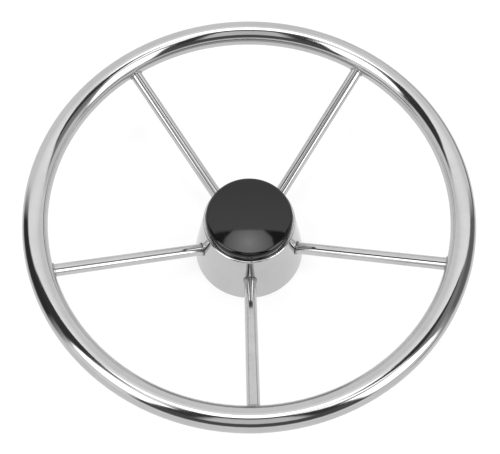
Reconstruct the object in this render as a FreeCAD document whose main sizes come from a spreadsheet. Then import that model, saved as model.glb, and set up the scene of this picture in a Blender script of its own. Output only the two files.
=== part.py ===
"""Stainless boat steering wheel: tubular rim, dished spokes, conical hub, tapered boss and push-in cap.

Millimetres. The origin is the centre of the hub's foot and +Z runs up the shaft axis, so the wheel
stands on its hub with the cap up. Every driving size is a cell of the sheet Sizes, and each piece is
bound to those cells.
"""

import FreeCAD, Part
import math
import os

import Sketcher
from FreeCAD import Placement, Rotation, Vector

# name of the size, its value, what it measures
SIZES = [
    ("rim_outer_diameter", 342.9, "over the rim, 13 1/2 in"),
    ("rim_tube_diameter", 19.05, "rim tube, 3/4 in"),
    ("rim_tube_wall", 1.2, "rim tube wall"),
    ("rim_plane_height", 75.8, "hub foot to the middle of the rim tube"),
    ("spoke_count", 5, "spokes, evenly spaced"),
    ("first_spoke_bearing", -90, "degrees about +Z from +X"),
    ("spoke_diameter", 9.525, "spoke tube, 3/8 in"),
    ("spoke_tube_wall", 1.2, "spoke tube wall"),
    ("spoke_root_height", 27, "where a spoke's axis meets the outside of the hub"),
    ("vent_diameter", 3.2, "vent drilled under each end of a spoke"),
    ("weld_leg", 0.9, "reach of a spoke weld along each surface"),
    ("weld_round", 0.6, "rounding of a spoke weld's crest"),
    ("hub_foot_diameter", 88.9, "hub cone at its foot, 3 1/2 in"),
    ("hub_mouth_diameter", 72, "hub cone at its mouth"),
    ("hub_height", 53.5, "foot to mouth"),
    ("hub_wall", 1.5, "hub sheet, measured across the axis"),
    ("hub_lip_radius", 1.2, "rounding of the mouth's outer edge"),
    ("hub_mouth_ease", 0.2, "rounding of the mouth's inner edge"),
    ("hub_foot_radius", 0.5, "rounding of the foot's outer edge"),
    ("plate_recess", 4, "hub foot to the underside of the base plate"),
    ("plate_thickness", 3, "base plate"),
    ("plate_bore_gap", 0.1, "base plate to the boss, each side"),
    ("plate_weld_leg", 2, "leg of the welds under the base plate"),
    ("boss_diameter", 34, "boss above its flange"),
    ("boss_height", 38, "boss from end to end"),
    ("boss_flange_diameter", 48, "boss flange"),
    ("boss_flange_thickness", 3, "boss flange"),
    ("boss_chamfer", 0.8, "boss edges"),
    ("taper_mouth_diameter", 19.05, "wide end of the tapered bore, 3/4 in"),
    ("taper_run", 12, "length in which the bore narrows by 1 in diameter"),
    ("land_length", 5, "plain bore above the taper"),
    ("key_width", 4.76, "keyway, 3/16 in"),
    ("key_depth", 2.4, "keyway below the wide end of the bore"),
    ("washer_diameter", 33.3, "washer for the 5/8 in thread"),
    ("washer_bore", 16.7, "washer hole"),
    ("washer_thickness", 2.4, "washer"),
    ("washer_edge", 0.4, "rounding of the washer's upper edge"),
    ("nut_across_flats", 23.8, "shaft nut, 15/16 in"),
    ("nut_height", 13.9, "shaft nut"),
    ("nut_bore", 14.5, "crests of the nut's 5/8-18 thread"),
    ("nut_corner_drop", 1.1, "height lost at the nut's corners"),
    ("hub_fit_gap", 0.12, "hub cone to each piece fitted inside it, across"),
    ("seat_bore", 63, "bore of the cap's seat ring"),
    ("seat_height", 8, "seat ring"),
    ("seat_recess", 0.8, "hub mouth down to the seat"),
    ("seat_chamfer", 0.6, "lead-in at the top of the seat ring's bore"),
    ("cap_mouth_gap", 0.5, "cap flange to the hub mouth, each side"),
    ("cap_side_height", 8.7, "seat to where the dome would meet the cap's upright side"),
    ("cap_edge_radius", 3.5, "rounding between the dome and the upright side"),
    ("cap_dome_rise", 3.1, "upright side to the top of the dome"),
    ("cap_top_wall", 2.4, "dome thickness"),
    ("cap_skirt_gap", 0.3, "skirt to the seat ring, each side"),
    ("cap_skirt_length", 7.2, "skirt below the seat"),
    ("cap_skirt_wall", 3.8, "skirt"),
    ("cap_skirt_chamfer", 0.6, "lead-in at the end of the skirt"),
    ("groove_offset", 2.2, "skirt end to the O-ring groove"),
    ("groove_side_gap", 0.2, "O-ring to each side of its groove"),
    ("ring_width", 3.0, "squeezed O-ring along the axis"),
    ("ring_depth", 2.1, "squeezed O-ring across"),
    ("ring_bore_gap", 0.1, "squeezed O-ring to the seat ring"),
    ("ring_groove_gap", 0.05, "squeezed O-ring to the bottom of its groove"),
]

# lengths that several pieces share, as expressions of the sheet's cells
RIM_RADIUS = "((Sizes.rim_outer_diameter - Sizes.rim_tube_diameter) / 2)"
TUBE_RADIUS = "(Sizes.rim_tube_diameter / 2)"
FOOT_RADIUS = "(Sizes.hub_foot_diameter / 2)"
MOUTH_RADIUS = "(Sizes.hub_mouth_diameter / 2)"
HUB_TAPER = f"(({FOOT_RADIUS} - {MOUTH_RADIUS}) / Sizes.hub_height)"
SPOKE_RADIUS = "(Sizes.spoke_diameter / 2)"
ROOT_RADIUS = f"({FOOT_RADIUS} - {HUB_TAPER} * Sizes.spoke_root_height)"
SPOKE_RISE = "(Sizes.rim_plane_height - Sizes.spoke_root_height)"
SPOKE_SLOPE = f"({SPOKE_RISE} / ({RIM_RADIUS} - {ROOT_RADIUS}))"
SPOKE_TILT = f"(90 deg - atan({SPOKE_SLOPE}))"
SPOKE_STRETCH = f"sqrt(1 + {SPOKE_SLOPE} ^ 2)"
# a spoke's blank starts this far out, inside the hub cone, and ends at the middle of the rim tube
BLANK_START = f"({MOUTH_RADIUS} / 2)"
BLANK_LENGTH = f"(({RIM_RADIUS} - {BLANK_START}) * {SPOKE_STRETCH})"
PLATE_BOTTOM = "Sizes.plate_recess"
PLATE_TOP = "(Sizes.plate_recess + Sizes.plate_thickness)"
BOSS_RADIUS = "(Sizes.boss_diameter / 2)"
FLANGE_RADIUS = "(Sizes.boss_flange_diameter / 2)"
BOSS_BOTTOM = "(Sizes.plate_recess - Sizes.boss_flange_thickness)"
BOSS_TOP = f"({BOSS_BOTTOM} + Sizes.boss_height)"
TAPER_LENGTH = "(Sizes.boss_height - Sizes.land_length)"
TAPER_TOP = f"({BOSS_BOTTOM} + {TAPER_LENGTH})"
LAND_RADIUS = f"((Sizes.taper_mouth_diameter - {TAPER_LENGTH} / Sizes.taper_run) / 2)"
WASHER_TOP = f"({BOSS_TOP} + Sizes.washer_thickness)"
NUT_TOP = f"({WASHER_TOP} + Sizes.nut_height)"
NUT_FLAT = "(Sizes.nut_across_flats / 2)"
SEAT_TOP = "(Sizes.hub_height - Sizes.seat_recess)"
SEAT_BOTTOM = f"({SEAT_TOP} - Sizes.seat_height)"
SEAT_RADIUS = "(Sizes.seat_bore / 2)"
CAP_RADIUS = f"({MOUTH_RADIUS} - Sizes.hub_wall - Sizes.cap_mouth_gap)"
SIDE_TOP = f"({SEAT_TOP} + Sizes.cap_side_height)"
DOME_TOP = f"({SIDE_TOP} + Sizes.cap_dome_rise)"
DOME_RADIUS = f"(({CAP_RADIUS} ^ 2 + Sizes.cap_dome_rise ^ 2) / (2 * Sizes.cap_dome_rise))"
DOME_CENTRE = f"({DOME_TOP} - {DOME_RADIUS})"
SKIRT_RADIUS = f"({SEAT_RADIUS} - Sizes.cap_skirt_gap)"
SKIRT_BORE = f"({SKIRT_RADIUS} - Sizes.cap_skirt_wall)"
SKIRT_BOTTOM = f"({SEAT_TOP} - Sizes.cap_skirt_length)"
CEILING_EDGE = f"({DOME_CENTRE} + sqrt(({DOME_RADIUS} - Sizes.cap_top_wall) ^ 2 - {SKIRT_BORE} ^ 2))"
RING_OUTSIDE = f"({SEAT_RADIUS} - Sizes.ring_bore_gap)"
RING_INSIDE = f"({RING_OUTSIDE} - Sizes.ring_depth)"
GROOVE_RADIUS = f"({RING_INSIDE} - Sizes.ring_groove_gap)"
GROOVE_BOTTOM = f"({SKIRT_BOTTOM} + Sizes.groove_offset)"
RING_BOTTOM = f"({GROOVE_BOTTOM} + Sizes.groove_side_gap)"
RING_TOP = f"({RING_BOTTOM} + Sizes.ring_width)"
GROOVE_TOP = f"({RING_TOP} + Sizes.groove_side_gap)"


def hub_outside(height):
    """Radius of the outside of the hub cone at a height, as an expression."""
    return f"({FOOT_RADIUS} - {HUB_TAPER} * {height})"


def hub_inside(height):
    """Radius of the inside of the hub cone at a height, as an expression."""
    return f"({hub_outside(height)} - Sizes.hub_wall)"


def hub_fit(height):
    """Radius at a height of a piece fitted inside the hub cone, as an expression."""
    return f"({hub_inside(height)} - Sizes.hub_fit_gap)"


doc = FreeCAD.newDocument("SteeringWheel")
sizes = doc.addObject("Spreadsheet::Sheet", "Sizes")
for row, (name, value, meaning) in enumerate(SIZES, start=1):
    sizes.set(f"A{row}", str(value))
    sizes.setAlias(f"A{row}", name)
    sizes.set(f"B{row}", meaning)
doc.recompute()

parts = []
UP = Vector(0, 0, 1)


def value_of(expression):
    """Present value of an expression of the sheet's cells."""
    result = sizes.evalExpression(expression)
    return float(getattr(result, "Value", result))


def bind(feature, **expressions):
    """Tie properties of a feature to expressions, with Base_x standing for Placement.Base.x."""
    for name, expression in expressions.items():
        path = f"Placement.Base.{name[-1]}" if name.startswith("Base_") else name
        feature.setExpression(path, expression)
    return feature


# bodies, sketches and turned shapes


def new_body(name):
    """A body whose label names the piece, put on the list of pieces."""
    body = doc.addObject("PartDesign::Body", name)
    body.Label = name
    parts.append(body)
    return body


def turn(feature, angle):
    """Turn a feature about the shaft axis by an angle that is an expression."""
    feature.Placement = Placement(Vector(), Rotation(UP, value_of(angle)))
    return bind(feature, **{"Placement.Rotation.Angle": angle})


def face_bearing(piece, number=0):
    """Turn a piece about the shaft axis so that its +X lies along the spoke of this number."""
    step = f"{number} * 360 deg / Sizes.spoke_count"
    turn(piece, f"Sizes.first_spoke_bearing * 1 deg + {step}")


def origin_feature(body, role):
    """The body's own origin plane or axis with this role."""
    return next(f for f in body.Origin.OriginFeatures if f.Role == role)


def hold_corner(sketch, edge, end, corner):
    """Hold one end of an edge at its radius and height. A corner of radius 0 lies on the axis."""
    radius, height = corner
    if radius == 0:
        sketch.addConstraint(Sketcher.Constraint("PointOnObject", edge, end, -2))
    else:
        held = Sketcher.Constraint("DistanceX", -1, 1, edge, end, value_of(radius))
        sketch.setExpression(f"Constraints[{sketch.addConstraint(held)}]", radius)
    if height == 0:
        sketch.addConstraint(Sketcher.Constraint("PointOnObject", edge, end, -1))
    else:
        held = Sketcher.Constraint("DistanceY", -1, 1, edge, end, value_of(height))
        sketch.setExpression(f"Constraints[{sketch.addConstraint(held)}]", height)


def draw_section(body, name, corners, domes=None):
    """Sketch a closed outline on the body's XZ plane, where X is the radius and Y the height.

    domes gives, for the number of a corner, the height on the axis about which the edge from that
    corner to the next one is an arc.
    """
    domes = domes or {}
    sketch = body.newObject("Sketcher::SketchObject", f"{name}_section")
    sketch.AttachmentSupport = [(origin_feature(body, "XZ_Plane"), "")]
    sketch.MapMode = "FlatFace"
    points = [Vector(value_of(str(x)), value_of(str(y)), 0) for x, y in corners]
    ends = []
    for number, start in enumerate(points):
        stop = points[(number + 1) % len(points)]
        if number not in domes:
            sketch.addGeometry(Part.LineSegment(start, stop))
            ends.append((1, 2))
            continue
        centre = Vector(0, value_of(domes[number]), 0)
        bearings = [math.atan2(p.y - centre.y, p.x) for p in (start, stop)]
        circle = Part.Circle(centre, UP, (start - centre).Length)
        sketch.addGeometry(Part.ArcOfCircle(circle, min(bearings), max(bearings)))
        ends.append((1, 2) if bearings[0] < bearings[1] else (2, 1))
    for number, corner in enumerate(corners):
        following = (number + 1) % len(corners)
        join = ("Coincident", number, ends[number][1], following, ends[following][0])
        sketch.addConstraint(Sketcher.Constraint(*join))
        hold_corner(sketch, number, ends[number][0], corner)
    for number in domes:
        sketch.addConstraint(Sketcher.Constraint("PointOnObject", number, 3, -2))
    return sketch


def turned(body, name, corners, domes=None, cut=False):
    """Revolve an outline about the shaft axis, to add material or to cut it away."""
    sketch = draw_section(body, name, corners, domes)
    feature = body.newObject("PartDesign::Groove" if cut else "PartDesign::Revolution", name)
    feature.Profile = (sketch, [""])
    feature.ReferenceAxis = (sketch, ["V_Axis"])
    feature.Angle = 360
    doc.recompute()
    return feature


def rings_at(feature, places):
    """Names of the feature's round edges about the shaft axis at these radii and heights."""
    wanted = [(value_of(radius), value_of(height)) for radius, height in places]
    found = []
    for number, edge in enumerate(feature.Shape.Edges, start=1):
        if edge.Degenerated or not isinstance(edge.Curve, Part.Circle):
            continue
        curve = edge.Curve
        if math.hypot(curve.Center.x, curve.Center.y) > 1e-6:
            continue
        if any(math.hypot(curve.Radius - r, curve.Center.z - z) < 1e-4 for r, z in wanted):
            found.append(f"Edge{number}")
    return found


def eased(body, kind, name, size, places):
    """Fillet or chamfer the round edges at these radii and heights."""
    base = body.Tip
    feature = body.newObject(f"PartDesign::{kind}", name)
    feature.Base = (base, rings_at(base, places))
    bind(feature, **{"Radius" if kind == "Fillet" else "Size": size})
    doc.recompute()
    return feature


def along_spoke(feature, start=BLANK_START):
    """Stand a cylinder on the line of the spoke that lies over +X, starting this far out.

    The cylinder is turned so that its seam lies to one side, out of the plane about which the hub
    cone and the rim tube are symmetric. Cuts across a seam in that plane fail at some sizes.
    """
    height = f"Sizes.rim_plane_height - {SPOKE_SLOPE} * ({RIM_RADIUS} - {start})"
    tilt = {"Placement.Rotation.Yaw": "90 deg", "Placement.Rotation.Roll": SPOKE_TILT}
    return bind(feature, Base_x=start, Base_z=height, **tilt)


def repeated(body, feature):
    """Repeat a feature at every spoke."""
    pattern = body.newObject("PartDesign::PolarPattern", f"{feature.Name}_pattern")
    pattern.Originals = [feature]
    pattern.Axis = (origin_feature(body, "Z_Axis"), [""])
    pattern.Angle = 360
    bind(pattern, Occurrences="Sizes.spoke_count")
    body.Tip = pattern
    doc.recompute()
    return pattern


# rim and spokes


def around_rim(feature, radius):
    """Lay a torus of this section radius round the rim's middle line, its seam between two spokes."""
    turn(feature, "180 deg / Sizes.spoke_count")
    return bind(feature, Radius1=RIM_RADIUS, Radius2=radius, Base_z="Sizes.rim_plane_height")


def make_rim():
    """The rim: a tube rolled into a ring, vented into each spoke."""
    body = new_body("rim_tube")
    around_rim(body.newObject("PartDesign::AdditiveTorus", "rim_outside"), TUBE_RADIUS)
    inside = body.newObject("PartDesign::SubtractiveTorus", "rim_inside")
    around_rim(inside, f"{TUBE_RADIUS} - Sizes.rim_tube_wall")
    vent = body.newObject("PartDesign::SubtractiveCylinder", "rim_vent")
    bind(vent, Radius="Sizes.vent_diameter / 2", Height=f"Sizes.rim_tube_diameter * {SPOKE_STRETCH}")
    along_spoke(vent, f"({RIM_RADIUS} - Sizes.rim_tube_diameter)")
    repeated(body, vent)
    face_bearing(body)


def make_spoke(number):
    """A dished spoke: a straight tube coped to the hub cone and to the rim tube."""
    name = f"spoke_{number + 1}"
    body = new_body(name)
    outside = body.newObject("PartDesign::AdditiveCylinder", f"{name}_outside")
    bind(along_spoke(outside), Radius=SPOKE_RADIUS, Height=BLANK_LENGTH)
    inside = body.newObject("PartDesign::SubtractiveCylinder", f"{name}_inside")
    bind(along_spoke(inside), Radius=f"{SPOKE_RADIUS} - Sizes.spoke_tube_wall", Height=BLANK_LENGTH)
    hub_end = body.newObject("PartDesign::SubtractiveCone", f"{name}_hub_end")
    bind(hub_end, Radius1=FOOT_RADIUS, Radius2=MOUTH_RADIUS, Height="Sizes.hub_height")
    around_rim(body.newObject("PartDesign::SubtractiveTorus", f"{name}_rim_end"), TUBE_RADIUS)
    face_bearing(body, number)


def part_feature(kind, name, **expressions):
    """A primitive of the Part workbench with its sizes tied to expressions."""
    return bind(doc.addObject(f"Part::{kind}", name), **expressions)


def boolean(kind, name, first, second):
    """Cut or Common of two features."""
    feature = doc.addObject(f"Part::{kind}", name)
    feature.Base = first
    feature.Tool = second
    return feature


def make_weld(name, number, surface, grown_surface):
    """A ring of weld around a spoke where it meets another surface.

    The ring is the part of a collar on the spoke that lies within the grown surface, less the spoke
    and the surface itself, with its crest rounded.
    """
    collar = part_feature("Cylinder", f"{name}_collar", Radius=f"{SPOKE_RADIUS} + Sizes.weld_leg")
    bar = part_feature("Cylinder", f"{name}_bar", Radius=SPOKE_RADIUS)
    for cylinder in (collar, bar):
        bind(along_spoke(cylinder), Height=BLANK_LENGTH)
    near = boolean("Common", f"{name}_near", collar, grown_surface)
    clear_of_surface = boolean("Cut", f"{name}_clear", near, surface)
    ring = boolean("Cut", f"{name}_ring", clear_of_surface, bar)
    doc.recompute()
    weld = doc.addObject("Part::Fillet", name)
    weld.Label = name
    weld.Base = ring
    radius = value_of("min(Sizes.weld_round; 0.8 * Sizes.weld_leg)")
    weld.Edges = [(crest_of(ring), radius, radius)]
    face_bearing(weld, number)
    parts.append(weld)


def crest_of(ring):
    """Number of a weld ring's outermost edge: the longest of its closed loops."""
    lengths = [edge.Length for edge in ring.Shape.Edges]
    return lengths.index(max(lengths)) + 1


def make_hub_weld(number):
    """The weld between a spoke and the hub cone."""
    name = f"hub_weld_{number + 1}"
    cone = {"Radius1": FOOT_RADIUS, "Radius2": MOUTH_RADIUS, "Height": "Sizes.hub_height"}
    surface = part_feature("Cone", f"{name}_surface", **cone)
    grown = {key: f"{size} + Sizes.weld_leg" for key, size in cone.items() if key != "Height"}
    grown_surface = part_feature("Cone", f"{name}_grown", Height="Sizes.hub_height", **grown)
    make_weld(name, number, surface, grown_surface)


def make_rim_weld(number):
    """The weld between a spoke and the rim tube."""
    name = f"rim_weld_{number + 1}"
    surface = around_rim(part_feature("Torus", f"{name}_surface"), TUBE_RADIUS)
    grown = around_rim(part_feature("Torus", f"{name}_grown"), f"{TUBE_RADIUS} + Sizes.weld_leg")
    make_weld(name, number, surface, grown)


# hub


def make_hub_shell():
    """The spun hub cone, with a rounded mouth and a vent into each spoke."""
    body = new_body("hub_shell")
    corners = [
        (hub_inside("0"), 0),
        (FOOT_RADIUS, 0),
        (MOUTH_RADIUS, "Sizes.hub_height"),
        (f"({MOUTH_RADIUS} - Sizes.hub_wall)", "Sizes.hub_height"),
    ]
    turned(body, "hub_cone", corners)
    eased(body, "Fillet", "hub_lip", "min(Sizes.hub_lip_radius; 0.8 * Sizes.hub_wall)", [corners[2]])
    eased(body, "Fillet", "hub_mouth", "min(Sizes.hub_mouth_ease; 0.15 * Sizes.hub_wall)", [corners[3]])
    foot = [(FOOT_RADIUS, "0")]
    eased(body, "Fillet", "hub_foot", "min(Sizes.hub_foot_radius; 0.45 * Sizes.hub_wall)", foot)
    vent = body.newObject("PartDesign::SubtractiveCylinder", "hub_vent")
    reach = f"(({ROOT_RADIUS} - {BLANK_START}) * {SPOKE_STRETCH} + Sizes.spoke_diameter)"
    bind(along_spoke(vent), Radius="Sizes.vent_diameter / 2", Height=reach)
    repeated(body, vent)
    face_bearing(body)


def make_base_plate():
    """The disc that carries the boss, bevelled to the inside of the hub cone."""
    bore = f"({BOSS_RADIUS} + Sizes.plate_bore_gap)"
    corners = [
        (bore, PLATE_BOTTOM),
        (hub_fit(PLATE_BOTTOM), PLATE_BOTTOM),
        (hub_fit(PLATE_TOP), PLATE_TOP),
        (bore, PLATE_TOP),
    ]
    turned(new_body("hub_base_plate"), "plate_disc", corners)


def make_plate_welds():
    """The two ring welds under the base plate, to the hub cone and to the boss flange."""
    leg_height = f"({PLATE_BOTTOM} - Sizes.plate_weld_leg)"
    cone_corners = [
        (f"({hub_fit(PLATE_BOTTOM)} - Sizes.plate_weld_leg)", PLATE_BOTTOM),
        (hub_fit(leg_height), leg_height),
        (hub_fit(PLATE_BOTTOM), PLATE_BOTTOM),
    ]
    turned(new_body("base_plate_weld"), "plate_weld_ring", cone_corners)
    flange_corners = [
        (FLANGE_RADIUS, leg_height),
        (f"({FLANGE_RADIUS} + Sizes.plate_weld_leg)", PLATE_BOTTOM),
        (FLANGE_RADIUS, PLATE_BOTTOM),
    ]
    turned(new_body("boss_weld"), "boss_weld_ring", flange_corners)


def make_boss():
    """The turned boss: flange, tapered bore, plain land and a keyway under the first spoke."""
    body = new_body("hub_boss")
    corners = [
        ("(Sizes.taper_mouth_diameter / 2)", BOSS_BOTTOM),
        (FLANGE_RADIUS, BOSS_BOTTOM),
        (FLANGE_RADIUS, PLATE_BOTTOM),
        (BOSS_RADIUS, PLATE_BOTTOM),
        (BOSS_RADIUS, BOSS_TOP),
        (LAND_RADIUS, BOSS_TOP),
        (LAND_RADIUS, TAPER_TOP),
    ]
    turned(body, "boss_turning", corners)
    eased(body, "Chamfer", "boss_edges", "Sizes.boss_chamfer", [corners[1], corners[4]])
    keyway = body.newObject("PartDesign::SubtractiveBox", "boss_keyway")
    bind(keyway, Length="Sizes.taper_mouth_diameter / 2 + Sizes.key_depth", Width="Sizes.key_width")
    bind(keyway, Height="Sizes.boss_height", Base_y="-Sizes.key_width / 2", Base_z=BOSS_BOTTOM)
    face_bearing(body)


def make_washer():
    """The washer between the boss and the shaft nut."""
    body = new_body("shaft_washer")
    corners = [
        ("(Sizes.washer_bore / 2)", BOSS_TOP),
        ("(Sizes.washer_diameter / 2)", BOSS_TOP),
        ("(Sizes.washer_diameter / 2)", WASHER_TOP),
        ("(Sizes.washer_bore / 2)", WASHER_TOP),
    ]
    turned(body, "washer_disc", corners)
    eased(body, "Fillet", "washer_edge", "Sizes.washer_edge", [corners[2]])


def make_nut():
    """The shaft nut, its corners chamfered at both ends. Its bore is the crest of the thread."""
    body = new_body("shaft_nut")
    hexagon = body.newObject("PartDesign::AdditivePrism", "nut_hexagon")
    hexagon.Polygon = 6
    bind(hexagon, Circumradius=f"{NUT_FLAT} / cos(30 deg)", Height="Sizes.nut_height", Base_z=WASHER_TOP)
    bore = body.newObject("PartDesign::SubtractiveCylinder", "nut_hole")
    bind(bore, Radius="Sizes.nut_bore / 2", Height="Sizes.nut_height", Base_z=WASHER_TOP)
    # each chamfer starts at the flats and reaches twice as far out, and falls twice as far, as the corners
    outside = f"({NUT_FLAT} * (2 / cos(30 deg) - 1))"
    for end, face, inward in (("top", NUT_TOP, "-"), ("bottom", WASHER_TOP, "+")):
        edge = f"({face} {inward} 2 * Sizes.nut_corner_drop)"
        corners = [(NUT_FLAT, face), (outside, face), (outside, edge)]
        turned(body, f"nut_{end}_chamfer", corners, cut=True)


# cap


def make_seat_ring():
    """The ring welded inside the hub's mouth, on which the cap's flange sits."""
    body = new_body("cap_seat_ring")
    corners = [
        (SEAT_RADIUS, SEAT_BOTTOM),
        (hub_fit(SEAT_BOTTOM), SEAT_BOTTOM),
        (hub_fit(SEAT_TOP), SEAT_TOP),
        (SEAT_RADIUS, SEAT_TOP),
    ]
    turned(body, "seat_turning", corners)
    eased(body, "Chamfer", "seat_lead_in", "Sizes.seat_chamfer", [corners[3]])


def make_cap():
    """The domed centre cap: a round-edged flange, and a skirt grooved for the O-ring."""
    body = new_body("centre_cap")
    corners = [
        (0, DOME_TOP),
        (CAP_RADIUS, SIDE_TOP),
        (CAP_RADIUS, SEAT_TOP),
        (SKIRT_RADIUS, SEAT_TOP),
        (SKIRT_RADIUS, GROOVE_TOP),
        (GROOVE_RADIUS, GROOVE_TOP),
        (GROOVE_RADIUS, GROOVE_BOTTOM),
        (SKIRT_RADIUS, GROOVE_BOTTOM),
        (SKIRT_RADIUS, SKIRT_BOTTOM),
        (SKIRT_BORE, SKIRT_BOTTOM),
        (SKIRT_BORE, CEILING_EDGE),
        (0, f"({DOME_TOP} - Sizes.cap_top_wall)"),
    ]
    turned(body, "cap_turning", corners, domes={0: DOME_CENTRE, 10: DOME_CENTRE})
    eased(body, "Fillet", "cap_edge", "Sizes.cap_edge_radius", [corners[1]])
    eased(body, "Chamfer", "cap_lead_in", "Sizes.cap_skirt_chamfer", [corners[8]])


def make_o_ring():
    """The O-ring as it sits, squeezed between its groove and the seat ring."""
    body = new_body("cap_o_ring")
    corners = [
        (RING_INSIDE, RING_BOTTOM),
        (RING_OUTSIDE, RING_BOTTOM),
        (RING_OUTSIDE, RING_TOP),
        (RING_INSIDE, RING_TOP),
    ]
    turned(body, "ring_section", corners)
    rounding = "0.45 * min(Sizes.ring_depth; Sizes.ring_width)"
    eased(body, "Fillet", "ring_rounding", rounding, corners)


def check_model():
    """Stop if any object failed to compute or any piece has no sound shape."""
    for item in doc.Objects:
        if "Invalid" in item.State or "Error" in item.State:
            raise RuntimeError(f"{item.Name} is {item.State}")
    for piece in parts:
        shape = piece.Shape
        if shape.isNull() or not shape.isValid() or not shape.Solids:
            raise RuntimeError(f"{piece.Label} has no valid shape")


def write_pieces():
    """Write every piece to its own file."""
    os.makedirs("parts", exist_ok=True)
    for piece in parts:
        piece.Shape.exportStep(f"parts/{piece.Label}.step")
        print(f"{piece.Label}: {len(piece.Shape.Solids)} solid, {piece.Shape.Volume:.0f} mm3")


make_rim()
for spoke_number in range(int(value_of("Sizes.spoke_count"))):
    make_spoke(spoke_number)
    make_hub_weld(spoke_number)
    make_rim_weld(spoke_number)
make_hub_shell()
make_base_plate()
make_plate_welds()
make_boss()
make_washer()
make_nut()
make_seat_ring()
make_cap()
make_o_ring()
doc.recompute()
check_model()
write_pieces()
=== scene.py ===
"""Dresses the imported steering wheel: polished rim, spokes and hub, turned boss, shaft nut, cap.

Metres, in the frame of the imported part: the hub's foot stands on z = 0 and +Z is the shaft axis.
"""

import logging
import math
from abc import ABC, abstractmethod
from dataclasses import dataclass
from enum import Enum
from typing import Callable, ClassVar, Iterable, Optional, Sequence, Union

import bmesh
import bpy
from mathutils import Matrix, Vector


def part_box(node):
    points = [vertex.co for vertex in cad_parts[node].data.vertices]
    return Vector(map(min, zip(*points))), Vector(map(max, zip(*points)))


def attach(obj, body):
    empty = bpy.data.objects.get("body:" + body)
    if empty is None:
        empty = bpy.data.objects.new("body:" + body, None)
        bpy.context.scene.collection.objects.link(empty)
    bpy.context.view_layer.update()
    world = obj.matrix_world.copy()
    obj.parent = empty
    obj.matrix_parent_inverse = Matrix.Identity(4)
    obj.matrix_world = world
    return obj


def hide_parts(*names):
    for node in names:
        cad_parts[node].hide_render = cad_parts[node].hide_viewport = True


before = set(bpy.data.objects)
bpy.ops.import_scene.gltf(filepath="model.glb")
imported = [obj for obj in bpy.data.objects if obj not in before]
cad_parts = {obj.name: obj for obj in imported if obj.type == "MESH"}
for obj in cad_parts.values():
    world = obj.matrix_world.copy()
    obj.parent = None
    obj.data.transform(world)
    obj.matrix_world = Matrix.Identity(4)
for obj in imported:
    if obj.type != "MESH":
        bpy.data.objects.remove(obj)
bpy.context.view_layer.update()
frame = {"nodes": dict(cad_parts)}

MM = 0.001
DEGREES_PER_RADIAN = 180 / math.pi
SPOKE_COUNT = 5
FIRST_SPOKE_BEARING = -90.0
SPOKE_SLOPE = 0.4007

log = logging.getLogger("wheel")

Point = tuple[float, float, float]
Socket = bpy.types.NodeSocket
Value = Union[float, Sequence[float], Socket]
Inputs = dict[Union[int, str], Value]


class Lay(Enum):
    """The way a surface's fine lines run."""

    ROUND_THE_AXIS = "round the shaft axis"
    ALONG_THE_SPOKES = "along each spoke"


class Blend(Enum):
    """What a Mix node blends: its data type, and the numbers of its two inputs and its output."""

    VALUES = ("FLOAT", 2, 3, 0)
    COLOURS = ("RGBA", 6, 7, 2)


# node trees


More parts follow.
